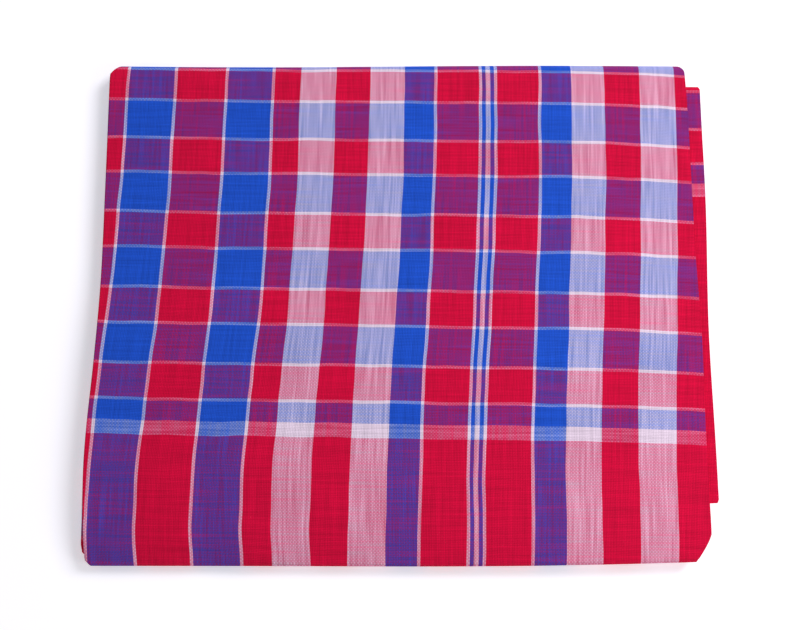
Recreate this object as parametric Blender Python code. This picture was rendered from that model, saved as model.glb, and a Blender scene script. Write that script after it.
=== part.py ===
"""A gamcha, a light handloom cotton cloth, doubled along its centre line and then folded back and forth into a flat pack.

Metres, +Z up. The spine, where the cloth is doubled, lies at -X and the two selvedges at +X. The viewer stands at -Y.
The doubled cloth runs from one cut end to the other as a strip that turns at four folds, and the pack lies on z = 0.
"""

import math
from collections import namedtuple

import bmesh
import bpy

MM = 0.001

# The cloth, doubled into a strip, and the strips one above another
SHEET = 1.0 * MM
DOUBLE_GAP = 0.3 * MM
PLY_GAP = 0.5 * MM
STRIP = 2 * SHEET + DOUBLE_GAP
PITCH = STRIP + PLY_GAP

# One row for each place where the strip turns or ends, in the order in which the cloth passes them.
# y is its outermost line. spine, upper and under are the x of the spine and of the two halves' selvedges.
# The corners there are drawn in by round_left and round_right, and the right one starts along_right before the turn.
Turn = namedtuple("Turn", "name y spine upper under round_left round_right along_right")
TURNS = [
    Turn("flap end", -29.6 * MM, -190.5 * MM, 187.5 * MM, 186.5 * MM, 0.5 * MM, 0.5 * MM, 2 * MM),
    Turn("front fold", -154.5 * MM, -191.4 * MM, 190.2 * MM, 188.6 * MM, 4.0 * MM, 9.8 * MM, 17 * MM),
    Turn("back fold", 171.2 * MM, -192.3 * MM, 189.2 * MM, 187.6 * MM, 8.0 * MM, 5.0 * MM, 6 * MM),
    Turn("inner front fold", -153.5 * MM, -195.3 * MM, 181.0 * MM, 182.0 * MM, 9.0 * MM, 5.0 * MM, 8 * MM),
    Turn("inner back fold", 156.3 * MM, -182.5 * MM, 197.9 * MM, 199.7 * MM, 5.0 * MM, 2.0 * MM, 3 * MM),
    Turn("inner end", -119.0 * MM, -184.0 * MM, 195.4 * MM, 197.0 * MM, 1.0 * MM, 1.0 * MM, 2 * MM),
]

# One row for each stretch between two turns: how many strips lie below it where it starts and where it ends, how far
# its selvedges bow in towards the spine near BOW_Y, and how far its spine bulges out near BULGE_Y.
# The back fold is the wide one, which closes round the inner folds, and the inner end lies in the middle of the pack.
Stretch = namedtuple("Stretch", "name below_start below_end bow bulge")
STRETCHES = [
    Stretch("flap", 3, 3, 0.0 * MM, 0.0 * MM),
    Stretch("top", 4, 3, 0.0 * MM, 0.0 * MM),
    Stretch("floor", 0, 0, 0.0 * MM, 3.6 * MM),
    Stretch("second", 1, 1, 1.0 * MM, 3.6 * MM),
    Stretch("third", 2, 2, 2.0 * MM, 0.0 * MM),
]
BOW_Y = 5 * MM
BOW_REACH = 62 * MM
BULGE_Y = -90 * MM
BULGE_REACH = 55 * MM

# The pack's corners are nearly straight cuts that start softly. Its front folds lie slightly askew, and bow out
# towards the viewer between places FRONT_BOW_REACH to either side of the middle.
CORNER_CURVE = 1.3
FRONT_SKEW = 0.0066
FRONT_BOW = 1.3 * MM
FRONT_BOW_REACH = 170 * MM

# The top stretch steps down past the end of the flap. In front of the inner end the flap and the top sag by almost
# one strip, and behind the inner back fold the top sags into the wide fold.
STEP_CLEAR = 3 * MM
STEP_RUN = 60 * MM
FRONT_SAG = PITCH - 0.1 * MM
BACK_SAG = 1.6 * MM
SAG_CLEAR = 1.5 * MM

# Unevenness: soft waves over the whole pack, a swell along the spine and slightly wavy edges
RISE_SHARE = 0.035
SPINE_SWELL = 0.05
SPINE_SWELL_RUN = 30 * MM
EDGE_WAVE = 0.5 * MM

# How fine the mesh is. ACROSS holds the places of its points across the cloth, from the spine to the selvedge.
FOLD_STEPS = 6
SPINE_STEPS = 6
ACROSS = [0.0, 0.05, 0.2, 0.4, 0.6, 0.8, 0.95, 1.0]
FIRST_STEP = 2.0 * MM
STEP_GROWTH = 2.0
LONGEST_STEP = 27 * MM


def smooth(share):
    share = min(1.0, max(0.0, share))
    return share * share * (3 - 2 * share)


def graded(start, end):
    """Places from start to end, close together near both and further apart between them."""
    length = abs(end - start)
    near = []
    step = FIRST_STEP
    while step < LONGEST_STEP:
        near.append(step)
        step *= STEP_GROWTH
    middle = length - 2 * sum(near)
    count = math.ceil(middle / LONGEST_STEP)
    places = [0.0]
    for step in near + [middle / count] * count + near[::-1]:
        places.append(places[-1] + step)
    return [start + (end - start) * place / length for place in places]


def height(stretch, y):
    """The height of a stretch's middle before the pack sags."""
    stepped = smooth((y - TURNS[0].y - STEP_CLEAR) / STEP_RUN)
    below = stretch.below_start + (stretch.below_end - stretch.below_start) * stepped
    return STRIP / 2 + below * PITCH


def turn_radius(number):
    """The radius of the strip's middle at a fold, which is nothing at a cut end."""
    if number in (0, len(STRETCHES)):
        return 0.0
    return abs(STRETCHES[number].below_start - STRETCHES[number - 1].below_end) * PITCH / 2


def turn_centre(number):
    """The y about which the strip turns at a fold, or at which it is cut."""
    y, radius = TURNS[number].y, turn_radius(number)
    return y - math.copysign(radius + STRIP / 2, y) if radius else y


def strip_path():
    """Points (y, z, stretch number, share of that stretch) along the middle of the doubled strip."""
    path = []
    for number, stretch in enumerate(STRETCHES):
        start, end = turn_centre(number), turn_centre(number + 1)
        for y in graded(start, end):
            path.append((y, height(stretch, y), number, (y - start) / (end - start)))
        radius = turn_radius(number + 1)
        if not radius:
            break
        from_z = height(stretch, end)
        to_z = height(STRETCHES[number + 1], end)
        for step in range(1, FOLD_STEPS):
            angle = math.pi * step / FOLD_STEPS
            y = end + math.copysign(radius * math.sin(angle), TURNS[number + 1].y)
            z = (from_z + to_z) / 2 + (from_z - to_z) / 2 * math.cos(angle)
            path.append((y, z, number, 1.0))
    return path


def normals(path):
    """The direction, in y and z, in which the upper half lies at each point of the path."""
    found = []
    for before, after in zip(path[:1] + path, path[1:] + path[-1:]):
        along_y, along_z = after[0] - before[0], after[1] - before[1]
        length = math.hypot(along_y, along_z)
        found.append((-along_z / length, along_y / length))
    return found


def drawn_in(distance, depth, along):
    """How far an edge is drawn in at this distance from a turn, as a soft corner."""
    return depth * max(0.0, 1 - distance / along) ** CORNER_CURVE


def edges(y, number, share):
    """The x of the spine and of both selvedges at a point of the path."""
    start, end = TURNS[number], TURNS[number + 1]
    spine = start.spine + (end.spine - start.spine) * share
    upper = start.upper + (end.upper - start.upper) * share
    under = start.under + (end.under - start.under) * share
    bow = STRETCHES[number].bow * math.exp(-(((y - BOW_Y) / BOW_REACH) ** 2))
    upper -= bow
    under -= bow
    spine -= STRETCHES[number].bulge * math.exp(-(((y - BULGE_Y) / BULGE_REACH) ** 2))
    for turn in (start, end):
        distance = abs(turn.y - y)
        right = drawn_in(distance, turn.round_right, turn.along_right)
        spine += drawn_in(distance, turn.round_left, turn.round_left)
        upper -= right
        under -= right
    return spine, upper, under


def section(spine, upper, under, offset):
    """Points (x, lift) along one face of the doubled cloth, from the upper selvedge round the spine to the other."""
    lift = (SHEET + DOUBLE_GAP) / 2 + offset
    turn_x = spine + STRIP / 2
    points = [(turn_x + (upper - turn_x) * share, lift) for share in reversed(ACROSS)]
    for step in range(1, SPINE_STEPS):
        angle = math.pi * step / SPINE_STEPS
        points.append((turn_x - lift * math.sin(angle), lift * math.cos(angle)))
    points += [(turn_x + (under - turn_x) * share, -lift) for share in ACROSS]
    return points


def sagged(y, z):
    """The height of a point once the upper strips have sagged past the ends of those inside the pack."""
    front, back = TURNS[-1].y - SAG_CLEAR, TURNS[-2].y
    if y < front and z > 2 * PITCH:
        return z - FRONT_SAG * ((front - y) / (front - TURNS[1].y)) ** 2
    if y > back:
        share = (y - back) / (TURNS[2].y - back)
        return z - BACK_SAG * share**2 * smooth((z - STRIP) / (2 * PITCH))
    return z


def uneven(x, y, z):
    """Gives the pack its sag, its soft waves, its wavy edges and its front's line, with the floor side kept flat."""
    front = (FRONT_SKEW * x - FRONT_BOW * (1 - (x / FRONT_BOW_REACH) ** 2)) * smooth(y / TURNS[1].y)
    wave = math.sin(x / (41 * MM) + 0.6) * math.cos(y / (33 * MM)) + math.sin((x + 2 * y) / (95 * MM) + 2.0)
    swell = SPINE_SWELL * math.exp((TURNS[2].spine - x) / SPINE_SWELL_RUN)
    return (
        x + EDGE_WAVE * math.sin(y / (52 * MM) + 1.0),
        y + front + EDGE_WAVE * math.sin(x / (60 * MM)) * y / TURNS[2].y,
        sagged(y, z) * (1 + RISE_SHARE * wave / 2 + swell),
    )


def cloth_body():
    """The whole cloth as one closed body: an outer and an inner face, joined along the selvedges and the cut ends."""
    path = strip_path()
    body = bmesh.new()
    faces = []
    for offset in (SHEET / 2, -SHEET / 2):
        rings = []
        for (y, z, number, share), (normal_y, normal_z) in zip(path, normals(path)):
            points = section(*edges(y, number, share), offset)
            rings.append([body.verts.new(uneven(x, y + w * normal_y, z + w * normal_z)) for x, w in points])
        faces.append(rings)

    outer, inner = faces
    last_ring, last_point = len(outer) - 1, len(outer[0]) - 1
    for i in range(last_ring):
        for j in range(last_point):
            body.faces.new((outer[i][j], outer[i + 1][j], outer[i + 1][j + 1], outer[i][j + 1]))
            body.faces.new((inner[i][j], inner[i][j + 1], inner[i + 1][j + 1], inner[i + 1][j]))
        for j in (0, last_point):
            body.faces.new((outer[i][j], inner[i][j], inner[i + 1][j], outer[i + 1][j]))
    for i in (0, last_ring):
        for j in range(last_point):
            body.faces.new((outer[i][j], outer[i][j + 1], inner[i][j + 1], inner[i][j]))
    bmesh.ops.recalc_face_normals(body, faces=body.faces)
    return body


def centre_on_floor(body):
    """Moves the pack so that the origin is under the middle of its box."""
    for axis in range(2):
        places = [vert.co[axis] for vert in body.verts]
        middle = (min(places) + max(places)) / 2
        for vert in body.verts:
            vert.co[axis] -= middle


def cotton():
    """Matt red cotton, the colour of the cloth's plain ends."""
    material = bpy.data.materials.new("handloom cotton")
    material.use_nodes = True
    shader = material.node_tree.nodes["Principled BSDF"]
    shader.inputs["Base Color"].default_value = (0.60, 0.01, 0.04, 1)
    shader.inputs["Roughness"].default_value = 0.85
    shader.inputs["Metallic"].default_value = 0.0
    return material


def add_gamcha():
    body = cloth_body()
    centre_on_floor(body)
    mesh = bpy.data.meshes.new("gamcha")
    body.to_mesh(mesh)
    body.free()
    mesh.shade_smooth()
    mesh.set_sharp_from_angle(angle=math.radians(40))
    mesh.materials.append(cotton())
    bpy.context.scene.collection.objects.link(bpy.data.objects.new("gamcha", mesh))


for old in list(bpy.data.objects):
    bpy.data.objects.remove(old)
add_gamcha()
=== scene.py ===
"""A gamcha of checked handloom cotton, doubled along its middle and folded back and forth into a flat pack.

Metres, +Z up. The spine, where the cloth is doubled, lies at -X, the two selvedges at +X and the viewer
at -Y.
"""

import math
from collections import namedtuple

import bmesh
import bpy
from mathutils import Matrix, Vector, noise


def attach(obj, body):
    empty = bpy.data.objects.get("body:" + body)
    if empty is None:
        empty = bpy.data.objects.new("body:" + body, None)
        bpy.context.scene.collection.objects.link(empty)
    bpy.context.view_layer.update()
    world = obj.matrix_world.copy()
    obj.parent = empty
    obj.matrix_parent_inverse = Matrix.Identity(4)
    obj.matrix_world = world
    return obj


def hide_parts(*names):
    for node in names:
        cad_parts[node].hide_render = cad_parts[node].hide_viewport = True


MM = 0.001

# The cloth, doubled into a strip, and the strips one above another. The solid's sheet is SHEET thick and the
# cotton here is thinner, on the same middle lines.
SHEET = 1.0 * MM
COTTON = 0.55 * MM
DOUBLE_GAP = 0.3 * MM
PLY_GAP = 0.5 * MM
STRIP = 2 * SHEET + DOUBLE_GAP
PITCH = STRIP + PLY_GAP

# One row for each place where the strip turns or ends, in the order in which the cloth passes them, in mm.
# y is its outermost line. spine, upper and under are the x of the spine and of the two halves' selvedges.
# The corners there are drawn in by round_left and round_right, and the right one starts along_right before
# the turn. warp_slip is how far the cloth's centre line lies round the upper side of the spine. weft_lean is
# how much further along the cloth a crosswise yarn gets for each mm to the right.
Turn = namedtuple("Turn", "name y spine upper under round_left round_right along_right warp_slip weft_lean")
TURNS = [
    Turn(name, *[value * MM for value in lengths], weft_lean)
    for name, *lengths, weft_lean in [
        ("flap end", -29.6, -190.5, 187.5, 186.5, 0.5, 0.5, 2, 5.9, 0.019),
        ("front fold", -154.5, -191.4, 190.2, 188.6, 4, 9.8, 17, 5.9, 0.019),
        ("back fold", 171.2, -192.3, 189.2, 187.6, 8, 5.0, 6, -6.1, 0.0113),
        ("inner front", -153.5, -195.3, 181.0, 182.0, 9, 5.0, 8, -3.0, 0.006),
        ("inner back", 156.3, -182.5, 197.9, 199.7, 5, 2.0, 3, -3.4, 0.0025),
        ("inner end", -119.0, -184.0, 195.4, 197.0, 1, 1.0, 2, -4.9, 0.0025),
    ]
]

# One row for each stretch between two turns: how many strips lie below it where it starts and where it ends,
# how far its selvedges bow in towards the spine near BOW_Y, how far its spine bulges out near BULGE_Y, how
# far the selvedges wander from straight, and its mesh's longest step. The solid has no bulge in the flap and
# the top.
Stretch = namedtuple("Stretch", "name below_start below_end bow bulge wander longest_step")
STRETCHES = [
    Stretch("flap", 3, 3, 0.0 * MM, 3.6 * MM, 0.5 * MM, 14 * MM),
    Stretch("top", 4, 3, 0.0 * MM, 3.6 * MM, 0.3 * MM, 2.4 * MM),
    Stretch("floor", 0, 0, 0.0 * MM, 3.6 * MM, 0.5 * MM, 25 * MM),
    Stretch("second", 1, 1, 1.0 * MM, 3.6 * MM, 0.5 * MM, 25 * MM),
    Stretch("third", 2, 2, 2.0 * MM, 0.0 * MM, 0.3 * MM, 8 * MM),
]

# How many steps the mesh takes round each turn, none at the first cut end
FOLD_STEPS = [0, 10, 16, 6, 6]

BOW_Y = 5 * MM
BOW_REACH = 62 * MM
BULGE_Y = -90 * MM
BULGE_REACH = 55 * MM

# The pack's corners are nearly straight cuts that start softly. Its front folds lie slightly askew, and bow
# out towards the viewer between places FRONT_BOW_REACH to either side of the middle.
CORNER_CURVE = 1.3
FRONT_SKEW = 0.0066
FRONT_BOW = 1.3 * MM
FRONT_BOW_REACH = 170 * MM

# How far the yarns of the top stretch have drifted at some places along it, from the front fold to the back
# fold: the warp towards the spine, the weft towards the viewer, and the warp of the left part on its own.
# That last one eases off over LEFT_DRIFT_RUN to the middle, and by a share of EDGE_STAYS over EDGE_RUN from
# EDGE_X out to the spine. Near its selvedge the weft droops as well.
Drift = namedtuple("Drift", "y to_spine to_viewer left_to_spine")
DRIFTS = [
    Drift(-154.5 * MM, 1.0 * MM, 0.0 * MM, 0.6 * MM),
    Drift(-128 * MM, 1.5 * MM, -0.5 * MM, 2.0 * MM),
    Drift(-91 * MM, 2.2 * MM, -1.2 * MM, 2.0 * MM),
    Drift(-58 * MM, 2.4 * MM, -0.7 * MM, 0.6 * MM),
    Drift(-40 * MM, 2.2 * MM, -0.1 * MM, 0.0 * MM),
    Drift(5 * MM, 1.1 * MM, 0.8 * MM, -0.8 * MM),
    Drift(57 * MM, 0.0 * MM, 0.1 * MM, -0.2 * MM),
    Drift(95 * MM, -0.7 * MM, -0.7 * MM, 0.0 * MM),
    Drift(147 * MM, -0.3 * MM, -1.3 * MM, 0.0 * MM),
    Drift(171.2 * MM, 0.0 * MM, 0.0 * MM, 0.0 * MM),
]
LEFT_DRIFT_RUN = 100 * MM
EDGE_STAYS = 0.65
EDGE_X = 162 * MM
EDGE_RUN = 25 * MM
DROOP = 2.2 * MM
DROOP_START = 90 * MM
DROOP_RUN = 95 * MM

# The top stretch steps down past the end of the flap. In front of the inner end the flap and the top sag by
# almost one strip, and behind the inner back fold the top sags into the wide fold.
STEP_CLEAR = 3 * MM
STEP_RUN = 60 * MM
FRONT_SAG = PITCH - 0.1 * MM
BACK_SAG = 1.6 * MM
SAG_CLEAR = 1.5 * MM

# Unevenness: soft waves over the whole pack, a swell along the spine, slightly wavy edges and small ripples
RISE_SHARE = 0.035
SPINE_SWELL = 0.05
SPINE_SWELL_RUN = 30 * MM
EDGE_WAVE = 0.5 * MM
RIPPLE_SHARE = 0.022
RIPPLE_X = 34 * MM
RIPPLE_Y = 23 * MM

# The front left corner lies lower: the pack thins by SLOPE_SHARE over the last SLOPE_RUN before the front
# fold, and by ROLL_SHARE more over the last ROLL_RUN, where the cloth rolls over. Both ease off from CORNER_X
# to CORNER_END_X.
SLOPE_SHARE = 0.12
SLOPE_RUN = 65 * MM
ROLL_SHARE = 0.26
ROLL_RUN = 18 * MM
CORNER_X = -190 * MM
CORNER_END_X = 130 * MM

# Soft creases in the plain end, each a line from one place to another. The pack rises or dips there by a
# share of its height, easing off over reach to either side.
Crease = namedtuple("Crease", "name from_x from_y to_x to_y reach share")
CREASES = [
    Crease("trough in the second blue stripe", -122 * MM, -97 * MM, -116 * MM, -160 * MM, 11 * MM, -0.055),
    Crease("ridge to the right of it", -95 * MM, -100 * MM, -90 * MM, -160 * MM, 9 * MM, 0.035),
    Crease("pull to the front left corner", -172 * MM, -112 * MM, -200 * MM, -158 * MM, 9 * MM, -0.04),
]

# How fine the mesh is across the cloth, on the upper half, on the under half and round the spine
UPPER_STEP = 3.7 * MM
UNDER_STEP = 13 * MM
SPINE_STEPS = 10
FIRST_STEP = 0.8 * MM
STEP_GROWTH = 1.8

# The hem at each cut end is folded over once, so the cloth is thicker there.
HEM = 7 * MM
HEM_STEP = 1.5 * MM
HEM_THICKER = 0.8

# The warp, from the cloth's centre line to each selvedge, as rows of colour and width in mm
WARP = [
    ("red", 6), ("white", 2), ("blue", 29), ("white", 2), ("red", 32), ("white", 2), ("blue", 29),
    ("white", 2), ("red", 17), ("white", 23.5), ("red", 22.5), ("white", 23), ("blue", 19.5),
    ("white", 2), ("red", 27.5), ("white", 2), ("blue", 2.5), ("white", 3), ("blue", 2.5), ("white", 2),
    ("red", 27.5), ("white", 2), ("blue", 19.5), ("white", 22), ("red", 23), ("white", 23.4), ("red", 40),
]

# The weft in mm, from each cut end towards the middle: the plain red end with its white band, and then the
# check's repeat
END_WEFT = [("red", 200), ("white", 9), ("blue", 12.5), ("white", 2)]
REPEAT_WEFT = [("red", 21.4), ("white", 2), ("blue", 24.2), ("white", 2)]

# The cotton yarns' dyed colours
YARN = {"red": "#DE063C", "blue": "#1F57CF", "white": "#F2DFEC"}

# Drawn yarns are 1.0 mm apart. The real ones are about 0.5 mm apart, which is too fine to show from here.
YARN_SPACING = 1.0

# How the yarns lie, in mm: they wander from straight by up to half of WANDER, in waves as long as
# WANDER_ACROSS and WANDER_ALONG the cloth, and have thick and thin places that show as streaks. They stand up
# by YARN_RELIEF, and soft crumples about as wide as CRUMPLE by up to CRUMPLE_RELIEF.
WANDER = 2.2
WANDER_ACROSS = 30
WANDER_ALONG = 55
STREAK_WIDTH = 1.7
STREAK_LENGTH = 45
YARN_RELIEF = 0.12
CRUMPLE = 9
CRUMPLE_RELIEF = 0.25

# The warp's share of what the eye sees at a crossing, and what is added to it where the warp lies on top,
# where the warp is white, where the weft is white, and where a streak makes the warp thick
WARP_SHARE = 0.52
ON_TOP_SHARE = 0.16
WHITE_WARP_SHARE = 0.05
WHITE_WEFT_SHARE = 0.08
STREAK_SHARE = 0.45

# The tone that multiplies the mixed colour, what the streaks add to it, and the painted shade and highlight
# from the yarns' roundness: lighter on top of a yarn, darker where it goes under
TONE = 0.67
STREAK_TONE = 0.24
PAINTED_YARN_SHADING = 0.14

# The share of its light that a yarn keeps at its edges where it goes under
DEEP_SHADE = 0.55

# What turns linear light into the eye's own scale, near enough. The yarns' colours are mixed on this scale,
# which makes crossings of two colours darker than a mixture of their light, as painted shade where the yarns
# shadow each other.
EYE_GAMMA = 2.2

# The camera: a 50 mm lens on a 36 mm sensor, seen from the front at this tilt from straight down
LENS = 50
SENSOR = 36
CAMERA_TILT = math.radians(11.159)
CAMERA_DISTANCE = 703.7 * MM
CAMERA_TARGET = Vector((0, 0, 12.0 * MM))


def linear(hex_colour):
    """An sRGB hex colour as linear red, green, blue and alpha."""
    channels = [int(hex_colour[i : i + 2], 16) / 255 for i in (1, 3, 5)]
    return [c / 12.92 if c <= 0.04045 else ((c + 0.055) / 1.055) ** 2.4 for c in channels] + [1.0]


def smooth(share):
    share = min(1.0, max(0.0, share))
    return share * share * (3 - 2 * share)


def graded(start, end, longest):
    """Places from start to end, close together near both and further apart between them."""
    length = abs(end - start)
    near = []
    step = FIRST_STEP
    while step < longest:
        near.append(step)
        step *= STEP_GROWTH
    middle = length - 2 * sum(near)
    count = math.ceil(middle / longest)
    places = [0.0]
    for step in near + [middle / count] * count + near[::-1]:
        places.append(places[-1] + step)
    return [start + (end - start) * place / length for place in places]


# The way the strip takes through the pack


def height(stretch, y):
    """The height of a stretch's middle before the pack sags."""
    stepped = smooth((y - TURNS[0].y - STEP_CLEAR) / STEP_RUN)
    below = stretch.below_start + (stretch.below_end - stretch.below_start) * stepped
    return STRIP / 2 + below * PITCH


def turn_radius(number):
    """The radius of the strip's middle at a fold, which is nothing at a cut end."""
    if number in (0, len(STRETCHES)):
        return 0.0
    return abs(STRETCHES[number].below_start - STRETCHES[number - 1].below_end) * PITCH / 2


def turn_centre(number):
    """The y about which the strip turns at a fold, or at which it is cut."""
    y, radius = TURNS[number].y, turn_radius(number)
    return y - math.copysign(radius + STRIP / 2, y) if radius else y


def strip_path():
    """Points (y, z, stretch number, share of that stretch, length so far) along the middle of the strip."""
    path = []
    passed = 0.0
    for number, stretch in enumerate(STRETCHES):
        start, end = turn_centre(number), turn_centre(number + 1)
        for y in graded(start, end, stretch.longest_step):
            share = (y - start) / (end - start)
            path.append((y, height(stretch, y), number, share, passed + abs(y - start)))
        passed += abs(end - start)
        radius = turn_radius(number + 1)
        if not radius:
            break
        from_z = height(stretch, end)
        to_z = height(STRETCHES[number + 1], end)
        steps = FOLD_STEPS[number + 1]
        for step in range(1, steps):
            angle = math.pi * step / steps
            y = end + math.copysign(radius * math.sin(angle), TURNS[number + 1].y)
            z = (from_z + to_z) / 2 + (from_z - to_z) / 2 * math.cos(angle)
            path.append((y, z, number, 1.0, passed + angle * radius))
        passed += math.pi * radius
    return path


def normals(path):
    """The direction, in y and z, in which the upper half lies at each point of the path."""
    found = []
    for before, after in zip(path[:1] + path, path[1:] + path[-1:]):
        along_y, along_z = after[0] - before[0], after[1] - before[1]
        length = math.hypot(along_y, along_z)
        found.append((-along_z / length, along_y / length))
    return found


# The doubled cloth at one place along the strip


def drawn_in(distance, depth, along):
    """How far an edge is drawn in at this distance from a turn, as a soft corner."""
    return depth * max(0.0, 1 - distance / along) ** CORNER_CURVE


def between(number, share, column):
    """A value of the turns' table, part of the way along a stretch."""
    start, end = getattr(TURNS[number], column), getattr(TURNS[number + 1], column)
    return start + (end - start) * share


def edges(y, number, share):
    """The x of the spine and of both selvedges at a point of the path."""
    stretch = STRETCHES[number]
    spine = between(number, share, "spine")
    spine -= stretch.bulge * math.exp(-(((y - BULGE_Y) / BULGE_REACH) ** 2))
    upper = between(number, share, "upper")
    under = between(number, share, "under")
    for turn in (TURNS[number], TURNS[number + 1]):
        distance = abs(turn.y - y)
        right = drawn_in(distance, turn.round_right, turn.along_right)
        spine += drawn_in(distance, turn.round_left, turn.round_left)
        upper -= right
        under -= right
    bow = stretch.bow * math.exp(-(((y - BOW_Y) / BOW_REACH) ** 2))
    upper += stretch.wander * math.sin(y / (23 * MM) + 2.1 * number) - bow
    under += stretch.wander * math.sin(y / (29 * MM) + 1.3 * number + 1) - bow
    return spine, upper, under


def drift(y, number):
    """The drift of the yarns at a place on the flap or the top stretch, and none elsewhere."""
    if number > 1:
        return Drift(y, 0.0, 0.0, 0.0)
    if number == 0 or y <= DRIFTS[0].y:
        return DRIFTS[0]
    for before, after in zip(DRIFTS, DRIFTS[1:]):
        if y <= after.y:
            share = smooth((y - before.y) / (after.y - before.y))
            return Drift(*[start + (end - start) * share for start, end in zip(before, after)])
    return DRIFTS[-1]


def left_part(x):
    """1 in the left part, which drifts on its own, less at its outer edge, and 0 from the middle on."""
    return smooth(-x / LEFT_DRIFT_RUN) * (1 - EDGE_STAYS * smooth((-x - EDGE_X) / EDGE_RUN))


def droop(x, number):
    """How far the weft of the top stretch droops towards the viewer near its selvedge."""
    return DROOP * max(0.0, (x - DROOP_START) / DROOP_RUN) ** 2 if number == 1 else 0.0


# Shares of the way from the spine to the selvedge, fine on the upper half and coarser on the under half
WIDTH = TURNS[1].upper - TURNS[1].spine
UPPER_SHARES = [place / WIDTH for place in graded(0.0, WIDTH, UPPER_STEP)]
UNDER_SHARES = [place / WIDTH for place in graded(0.0, WIDTH, UNDER_STEP)]


def section(spine, upper, under, lift):
    """Points (x, lift, side) along one face of the doubled cloth, from the upper selvedge to the under one.

    They go round the spine, and side goes from 1 on the upper half to -1 on the under half.
    """
    turn_x = spine + STRIP / 2
    points = [(turn_x + (upper - turn_x) * share, lift, 1.0) for share in reversed(UPPER_SHARES)]
    for step in range(1, SPINE_STEPS):
        angle = math.pi * step / SPINE_STEPS
        points.append((turn_x - lift * math.sin(angle), lift * math.cos(angle), math.cos(angle)))
    points += [(turn_x + (under - turn_x) * share, -lift, -1.0) for share in UNDER_SHARES]
    return points


def sagged(y, z):
    """The height of a point once the upper strips have sagged past the ends of those inside the pack."""
    front, back = TURNS[-1].y - SAG_CLEAR, TURNS[-2].y
    if y < front and z > 2 * PITCH:
        return z - FRONT_SAG * ((front - y) / (front - TURNS[1].y)) ** 2
    if y > back:
        share = (y - back) / (TURNS[2].y - back)
        return z - BACK_SAG * share**2 * smooth((z - STRIP) / (2 * PITCH))
    return z


def thinned(x, y):
    """By what share the pack is thinner near its front left corner."""
    before_fold = y - TURNS[1].y
    slope = SLOPE_SHARE * min(1.0, max(0.0, 1 - before_fold / SLOPE_RUN)) ** 2
    roll = ROLL_SHARE * min(1.0, max(0.0, 1 - before_fold / ROLL_RUN)) ** 2
    return (slope + roll) * min(1.0, max(0.0, (CORNER_END_X - x) / (CORNER_END_X - CORNER_X)))


def creased(x, y):
    """By what share the pack is higher or lower where a soft crease crosses it."""
    total = 0.0
    for crease in CREASES:
        run_x, run_y = crease.to_x - crease.from_x, crease.to_y - crease.from_y
        share = ((x - crease.from_x) * run_x + (y - crease.from_y) * run_y) / (run_x**2 + run_y**2)
        share = min(1.0, max(0.0, share))
        distance = math.hypot(x - crease.from_x - share * run_x, y - crease.from_y - share * run_y)
        total += crease.share * math.exp(-((distance / crease.reach) ** 2))
    return total


def uneven(x, y, z):
    """Gives the pack its sag, waves, ripples, creases, wavy edges and front line, on a flat floor side."""
    front = (FRONT_SKEW * x - FRONT_BOW * (1 - (x / FRONT_BOW_REACH) ** 2)) * smooth(y / TURNS[1].y)
    wave = math.sin(x / (41 * MM) + 0.6) * math.cos(y / (33 * MM)) + math.sin((x + 2 * y) / (95 * MM) + 2.0)
    swell = SPINE_SWELL * math.exp((TURNS[2].spine - x) / SPINE_SWELL_RUN)
    ripple = RIPPLE_SHARE * noise.noise(Vector((x / RIPPLE_X, y / RIPPLE_Y, 0.3)))
    return (
        x + EDGE_WAVE * math.sin(y / (52 * MM) + 1.0),
        y + front + EDGE_WAVE * math.sin(x / (60 * MM)) * y / TURNS[2].y,
        sagged(y, z) * (1 + RISE_SHARE * wave / 2 + swell + ripple + creased(x, y) - thinned(x, y)),
    )


# The cloth as one mesh, with its yarns' places


def cloth_ring(y, z, number, share, passed, normal, face, total):
    """The points of one face at one place along the strip, and where each lies on the flat cloth, in mm.

    Those places are across from the centre line and along from the first cut end. Where the spine is drawn
    in or bulges out, the warp of the upper half runs straight on.
    """
    spine, upper, under = edges(y, number, share)
    from_end = min(passed, total - passed)
    thickness = COTTON * (1 + HEM_THICKER * smooth((HEM - from_end) / HEM_STEP + 0.5))
    lift = (SHEET + DOUBLE_GAP) / 2 + face * thickness / 2
    slip, lean = between(number, share, "warp_slip"), between(number, share, "weft_lean")
    slip += spine - between(number, share, "spine")
    here = drift(y, number)
    places, woven = [], []
    for x, w, side in section(spine, upper, under, lift):
        places.append(uneven(x, y + w * normal[0], z + w * normal[1]))
        half = 1 if side > 0 else -1
        from_spine = (x - spine) * half if abs(side) == 1 else STRIP / 2 * side
        across = slip + here.to_spine + here.left_to_spine * left_part(x) + from_spine
        along = passed + lean * (spine + from_spine) + here.to_viewer + droop(x, number)
        woven.append((across / MM, along / MM))
    return places, woven


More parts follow.
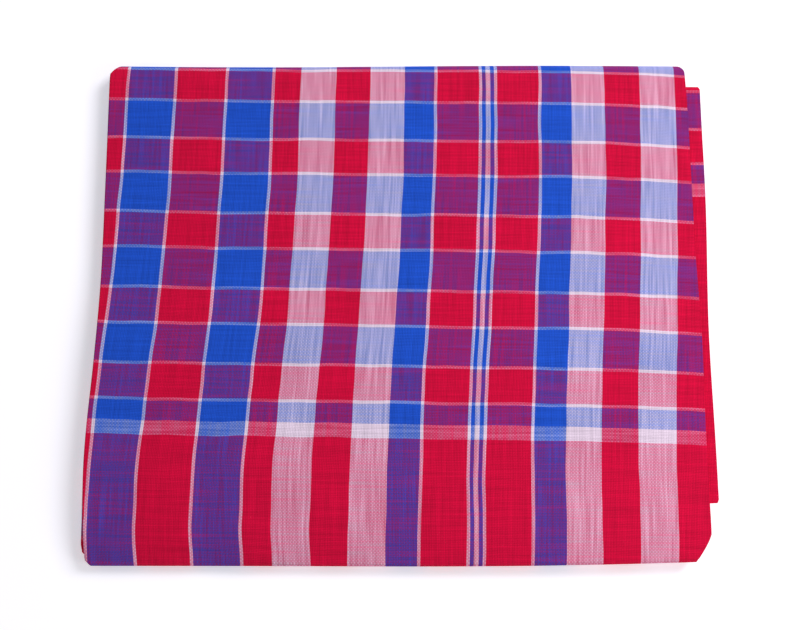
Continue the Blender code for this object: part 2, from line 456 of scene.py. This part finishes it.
def add_gamcha():
    path = strip_path()
    total = path[-1][4]
    body = bmesh.new()
    weave_map = body.loops.layers.uv.new("weave")
    woven_at = {}
    faces = []
    for face in (1, -1):
        rings = []
        for (y, z, number, share, passed), normal in zip(path, normals(path)):
            places, woven = cloth_ring(y, z, number, share, passed, normal, face, total)
            ring = [body.verts.new(place) for place in places]
            woven_at.update(zip(ring, woven))
            rings.append(ring)
        faces.append(rings)

    outer, inner = faces
    last_ring, last_point = len(outer) - 1, len(outer[0]) - 1
    for i in range(last_ring):
        for j in range(last_point):
            body.faces.new((outer[i][j], outer[i + 1][j], outer[i + 1][j + 1], outer[i][j + 1]))
            body.faces.new((inner[i][j], inner[i][j + 1], inner[i + 1][j + 1], inner[i + 1][j]))
        for j in (0, last_point):
            body.faces.new((outer[i][j], inner[i][j], inner[i + 1][j], outer[i + 1][j]))
    for i in (0, last_ring):
        for j in range(last_point):
            body.faces.new((outer[i][j], outer[i][j + 1], inner[i][j + 1], inner[i][j]))
    bmesh.ops.recalc_face_normals(body, faces=body.faces)
    for face in body.faces:
        for loop in face.loops:
            loop[weave_map].uv = woven_at[loop.vert]

    middle = Vector((0, 0, min(vert.co.z for vert in body.verts)))
    for axis in range(2):
        places = [vert.co[axis] for vert in body.verts]
        middle[axis] = (min(places) + max(places)) / 2
    for vert in body.verts:
        vert.co -= middle

    mesh = bpy.data.meshes.new("folded_gamcha")
    body.to_mesh(mesh)
    body.free()
    mesh.shade_smooth()
    mesh.set_sharp_from_angle(angle=math.radians(50))
    cloth = bpy.data.objects.new("folded_gamcha", mesh)
    bpy.context.scene.collection.objects.link(cloth)
    return cloth, total, middle


# Materials


def add_node(tree, kind, inputs=None, **settings):
    """Adds a node with its settings, and its inputs' values or links. Returns its first output, if any."""
    made = tree.nodes.new(kind)
    for name, value in settings.items():
        setattr(made, name, value)
    for key, value in (inputs or {}).items():
        if isinstance(value, bpy.types.NodeSocket):
            tree.links.new(value, made.inputs[key])
        else:
            made.inputs[key].default_value = value
    return made.outputs[0] if made.outputs else None


def stripes_of(rows, colour):
    """The middle and half the width of each stripe of one colour. The rows follow one another from 0."""
    found = []
    passed = 0.0
    for name, width in rows:
        if name == colour:
            found.append((passed + width / 2, width / 2))
        passed += width
    return found


def striped(tree, place, rows, colour):
    """1 where the place, in mm, lies in a stripe of this colour, and 0 elsewhere."""
    total = 0.0
    for middle, half in stripes_of(rows, colour):
        inside = add_node(tree, "ShaderNodeMath", {0: place, 1: middle, 2: half}, operation="COMPARE")
        total = add_node(tree, "ShaderNodeMath", {0: total, 1: inside}, operation="ADD")
    return total


def yarn_colour(tree, blue, white):
    """The dyed colour of the yarns that run one way, on the eye's own scale, on which they are mixed. Mixing
    there darkens crossings of two colours, as painted shade where the yarns shadow each other.
    """
    colour = linear(YARN["red"])
    for inside, name in ((blue, "blue"), (white, "white")):
        dyed = {"Fac": inside, "Color1": colour, "Color2": linear(YARN[name])}
        colour = add_node(tree, "ShaderNodeMixRGB", dyed)
    return add_node(tree, "ShaderNodeGamma", {"Color": colour, "Gamma": 1 / EYE_GAMMA})


def handloom_cotton(total):
    """Plain-woven cotton in dyed yarn, matt and slightly fuzzy.

    Where two colours cross, the eye sees a mixture with more of the warp's, mixed darker as painted shade
    where the yarns shadow each other. Thick and thin places in the yarns show as short streaks both ways.
    Each yarn's roundness is painted on as shade and highlight.
    """
    material = bpy.data.materials.new("handloom_cotton")
    material.use_nodes = True
    tree = material.node_tree
    tree.nodes.clear()

    weave = add_node(tree, "ShaderNodeUVMap", uv_map="weave")

    # The yarns wander a little from straight
    scale = (1 / WANDER_ACROSS, 1 / WANDER_ALONG, 0)
    stretched = add_node(tree, "ShaderNodeMapping", {"Vector": weave, "Scale": scale})
    wander = add_node(tree, "ShaderNodeTexNoise", {"Vector": stretched, "Scale": 1.0})
    centred = {0: wander.node.outputs[1], 1: (0.5, 0.5, 0.5)}
    wander = add_node(tree, "ShaderNodeVectorMath", centred, operation="SUBTRACT")
    moved = {0: wander, 1: (WANDER, WANDER, 0), 2: weave}
    woven = add_node(tree, "ShaderNodeVectorMath", moved, operation="MULTIPLY_ADD")
    apart = add_node(tree, "ShaderNodeSeparateXYZ", {0: woven})
    across, along = apart, apart.node.outputs[1]
    off_centre = add_node(tree, "ShaderNodeMath", {0: across}, operation="ABSOLUTE")
    from_far_end = add_node(tree, "ShaderNodeMath", {0: total / MM, 1: along}, operation="SUBTRACT")
    from_end = add_node(tree, "ShaderNodeMath", {0: along, 1: from_far_end}, operation="MINIMUM")

    # Stripes in the warp, and in the weft the plain ends and then the check's repeat
    warp_blue = striped(tree, off_centre, WARP, "blue")
    warp_white = striped(tree, off_centre, WARP, "white")
    end_length = sum(width for name, width in END_WEFT)
    repeat_length = sum(width for name, width in REPEAT_WEFT)
    past_end = add_node(tree, "ShaderNodeMath", {0: from_end, 1: end_length}, operation="SUBTRACT")
    checked = add_node(tree, "ShaderNodeMath", {0: past_end, 1: 0.0}, operation="GREATER_THAN")
    repeat = {0: past_end, 1: repeat_length}
    in_repeat = add_node(tree, "ShaderNodeMath", repeat, operation="FLOORED_MODULO")
    weft = {}
    for colour in ("blue", "white"):
        in_check = striped(tree, in_repeat, REPEAT_WEFT, colour)
        in_end = striped(tree, from_end, END_WEFT, colour)
        either = {0: in_check, 1: checked, 2: in_end}
        weft[colour] = add_node(tree, "ShaderNodeMath", either, operation="MULTIPLY_ADD")
    warp_colour = yarn_colour(tree, warp_blue, warp_white)
    weft_colour = yarn_colour(tree, weft["blue"], weft["white"])

    # Over and under: on each crossing of the drawn yarns either the warp or the weft is on top
    count_across = add_node(tree, "ShaderNodeMath", {0: across, 1: YARN_SPACING}, operation="DIVIDE")
    count_along = add_node(tree, "ShaderNodeMath", {0: along, 1: YARN_SPACING}, operation="DIVIDE")
    number_across = add_node(tree, "ShaderNodeMath", {0: count_across}, operation="FLOOR")
    number_along = add_node(tree, "ShaderNodeMath", {0: count_along}, operation="FLOOR")
    both = add_node(tree, "ShaderNodeMath", {0: number_across, 1: number_along}, operation="ADD")
    warp_on_top = add_node(tree, "ShaderNodeMath", {0: both, 1: 2.0}, operation="FLOORED_MODULO")

    # Thick and thin places, as streaks along the warp and along the weft
    streaks = []
    for wide, long in ((STREAK_WIDTH, STREAK_LENGTH), (STREAK_LENGTH, STREAK_WIDTH)):
        mapped = {"Vector": weave, "Scale": (1 / wide, 1 / long, 0), "Location": (7, 3, 0)}
        stretched = add_node(tree, "ShaderNodeMapping", mapped)
        noisy = {"Vector": stretched, "Scale": 1.0, "Detail": 1.5, "Roughness": 0.6}
        streaks.append(add_node(tree, "ShaderNodeTexNoise", noisy))
    warp_streak, weft_streak = streaks
    difference = {0: warp_streak, 1: weft_streak}
    streak_balance = add_node(tree, "ShaderNodeMath", difference, operation="SUBTRACT")

    # The warp's share of what the eye sees. White warp shows a little more of itself, and white weft less.
    share = WARP_SHARE
    parts = (
        (warp_on_top, ON_TOP_SHARE),
        (warp_white, WHITE_WARP_SHARE),
        (weft["white"], WHITE_WEFT_SHARE),
        (streak_balance, STREAK_SHARE),
    )
    for part, times in parts:
        added = {0: part, 1: times, 2: share}
        share = add_node(tree, "ShaderNodeMath", added, operation="MULTIPLY_ADD", use_clamp=True)
    # Mixed on the eye's scale, so crossings of two colours come out darker: painted shade where the yarns
    # shadow each other
    mixed = {"Fac": share, "Color1": weft_colour, "Color2": warp_colour}
    colour = add_node(tree, "ShaderNodeMixRGB", mixed)

    # Each drawn yarn is round, and lower and darker where it goes under. Its height gives the relief, and is
    # also painted onto the colour as shade and highlight.
    rounds = []
    for count in (count_across, count_along):
        part = add_node(tree, "ShaderNodeMath", {0: count}, operation="FRACT")
        part = add_node(tree, "ShaderNodeMath", {0: part, 1: math.pi}, operation="MULTIPLY")
        rounds.append(add_node(tree, "ShaderNodeMath", {0: part}, operation="SINE"))
    warp_round, weft_round = rounds
    top = {"Factor": warp_on_top, "A": weft_round, "B": warp_round}
    deep = {"Factor": warp_on_top, "A": warp_round, "B": weft_round}
    top_round = add_node(tree, "ShaderNodeMix", top, data_type="FLOAT")
    deep_round = add_node(tree, "ShaderNodeMix", deep, data_type="FLOAT")
    shaded = {0: deep_round, 1: 1 - DEEP_SHADE, 2: DEEP_SHADE}
    deep_round = add_node(tree, "ShaderNodeMath", shaded, operation="MULTIPLY_ADD")
    yarn_height = add_node(tree, "ShaderNodeMath", {0: top_round, 1: deep_round}, operation="MULTIPLY")

    tone = add_node(tree, "ShaderNodeMath", {0: warp_streak, 1: weft_streak}, operation="ADD")
    streaked = {0: tone, 1: STREAK_TONE, 2: TONE}
    tone = add_node(tree, "ShaderNodeMath", streaked, operation="MULTIPLY_ADD")
    # Painted shade and highlight: the colour is lighter where a yarn stands high and darker where it goes
    # under
    yarn_shading_painted = {0: yarn_height, 1: PAINTED_YARN_SHADING, 2: tone}
    tone = add_node(tree, "ShaderNodeMath", yarn_shading_painted, operation="MULTIPLY_ADD")
    colour = add_node(tree, "ShaderNodeVectorMath", {0: colour, "Scale": tone}, operation="SCALE")
    colour = add_node(tree, "ShaderNodeGamma", {"Color": colour, "Gamma": EYE_GAMMA})

    # Relief of the yarns and of soft crumples
    crumpled = {"Vector": weave, "Scale": 1 / CRUMPLE, "Detail": 2.0, "Roughness": 0.5}
    crumple = add_node(tree, "ShaderNodeTexNoise", crumpled)
    relief = add_node(tree, "ShaderNodeMath", {0: crumple, 1: CRUMPLE_RELIEF}, operation="MULTIPLY")
    raised = {0: yarn_height, 1: YARN_RELIEF, 2: relief}
    relief = add_node(tree, "ShaderNodeMath", raised, operation="MULTIPLY_ADD")
    bump = add_node(tree, "ShaderNodeBump", {"Height": relief, "Strength": 1.0, "Distance": MM})

    shader = add_node(
        tree,
        "ShaderNodeBsdfPrincipled",
        {
            "Base Color": colour,
            "Roughness": 0.85,
            "Specular IOR Level": 0.1,
            "Sheen Weight": 0.04,
            "Sheen Roughness": 0.5,
            "Normal": bump,
        },
    )
    add_node(tree, "ShaderNodeOutputMaterial", {"Surface": shader})
    return material


def light_table():
    """A matt opal acrylic table top with a faint light behind it. It shows as white with soft shadows."""
    material = bpy.data.materials.new("opal_acrylic")
    material.use_nodes = True
    shader = material.node_tree.nodes["Principled BSDF"]
    shader.inputs["Base Color"].default_value = linear("#FAFAFA")
    shader.inputs["Roughness"].default_value = 0.7
    shader.inputs["Specular IOR Level"].default_value = 0.1
    shader.inputs["Emission Color"].default_value = linear("#FFFFFF")
    shader.inputs["Emission Strength"].default_value = 0.35
    return material


# Stage, lights and camera


def add_floor():
    mesh = bpy.data.meshes.new("floor")
    reach = 6.0
    corners = [(-reach, -reach, 0), (reach, -reach, 0), (reach, reach, 0), (-reach, reach, 0)]
    mesh.from_pydata(corners, [], [(0, 1, 2, 3)])
    mesh.materials.append(light_table())
    floor = bpy.data.objects.new("floor", mesh)
    bpy.context.scene.collection.objects.link(floor)


def add_light(name, place, size, watts, colour):
    """A square area light of this size in metres, turned towards the middle of the pack."""
    light = bpy.data.lights.new(name, "AREA")
    light.shape = "SQUARE"
    light.size = size
    light.energy = watts
    light.color = linear(colour)[:3]
    lamp = bpy.data.objects.new(name, light)
    lamp.location = place
    lamp.rotation_euler = (Vector(place) * -1).to_track_quat("-Z", "Y").to_euler()
    bpy.context.scene.collection.objects.link(lamp)


def add_camera(middle):
    """The camera looks at one place of the pack as it lay before its middle was moved to the origin."""
    data = bpy.data.cameras.new("camera")
    data.lens = LENS
    data.sensor_width = SENSOR
    data.clip_start = 0.01
    camera = bpy.data.objects.new("camera", data)
    back_off = Vector((0, -math.sin(CAMERA_TILT), math.cos(CAMERA_TILT))) * CAMERA_DISTANCE
    camera.location = CAMERA_TARGET - Vector((middle.x, middle.y, 0)) + back_off
    camera.rotation_euler = (CAMERA_TILT, 0, 0)
    bpy.context.scene.collection.objects.link(camera)
    bpy.context.scene.camera = camera


def add_room_light():
    world = bpy.data.worlds.new("room")
    world.use_nodes = True
    world.node_tree.nodes["Background"].inputs["Color"].default_value = linear("#EEF0FF")
    world.node_tree.nodes["Background"].inputs["Strength"].default_value = 0.4
    bpy.context.scene.world = world


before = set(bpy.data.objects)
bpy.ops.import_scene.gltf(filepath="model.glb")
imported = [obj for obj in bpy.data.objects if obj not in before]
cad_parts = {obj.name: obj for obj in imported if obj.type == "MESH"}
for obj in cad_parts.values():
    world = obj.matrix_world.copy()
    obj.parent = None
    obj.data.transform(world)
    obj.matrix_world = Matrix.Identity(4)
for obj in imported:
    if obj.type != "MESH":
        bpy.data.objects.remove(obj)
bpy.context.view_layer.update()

cloth, cloth_length, pack_middle = add_gamcha()
cloth.data.materials.append(handloom_cotton(cloth_length))
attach(cloth, "root")
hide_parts("gamcha")

add_floor()
add_room_light()
add_light("key", (1.15, 0.85, 1.15), 0.8, 23, "#FBF6FF")
add_light("fill", (0.66, -0.36, 0.45), 0.35, 1.7, "#FFF6F6")
add_camera(pack_middle)
bpy.context.scene.view_settings.view_transform = "Standard"
